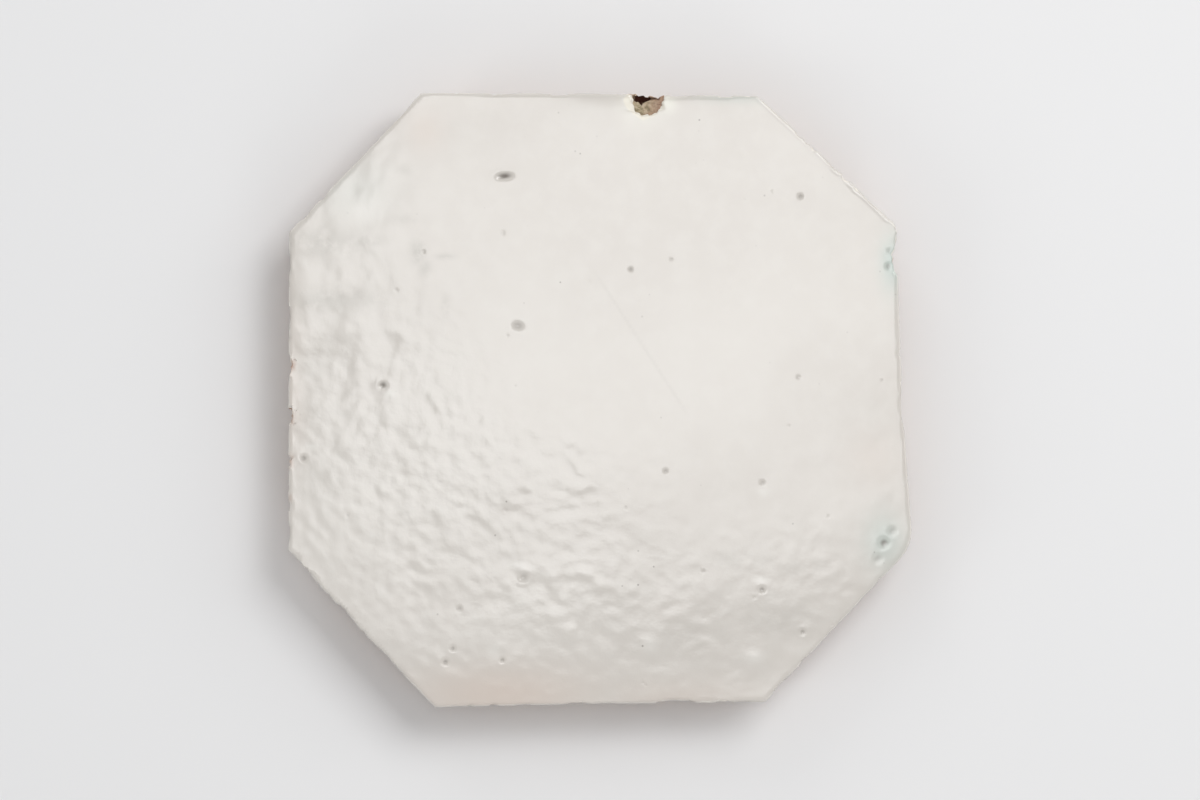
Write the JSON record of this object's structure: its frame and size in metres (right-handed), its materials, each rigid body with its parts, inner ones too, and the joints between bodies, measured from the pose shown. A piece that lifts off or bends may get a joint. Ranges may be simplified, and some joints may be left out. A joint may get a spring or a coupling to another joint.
{
  "type": "octagon tile",
  "caption": "Hand-cut octagonal floor and wall tile of fired clay with a wavy off-white glazed face and rough trimmed sides.",
  "frame": {"origin": "on the bed, under the middle of the tile's box", "axes": "+Z out of the glazed face, +Y towards the back side with the chip, +X towards the right side"},
  "size_m": [0.1018, 0.1004, 0.0113],
  "materials": {
    "glazed_clay": "gloss glaze on the face, bare clay on the sides and the bed"
  },
  "bodies": {
    "root": {"octagon_tile": "glazed_clay"}
  },
  "joints": []
}
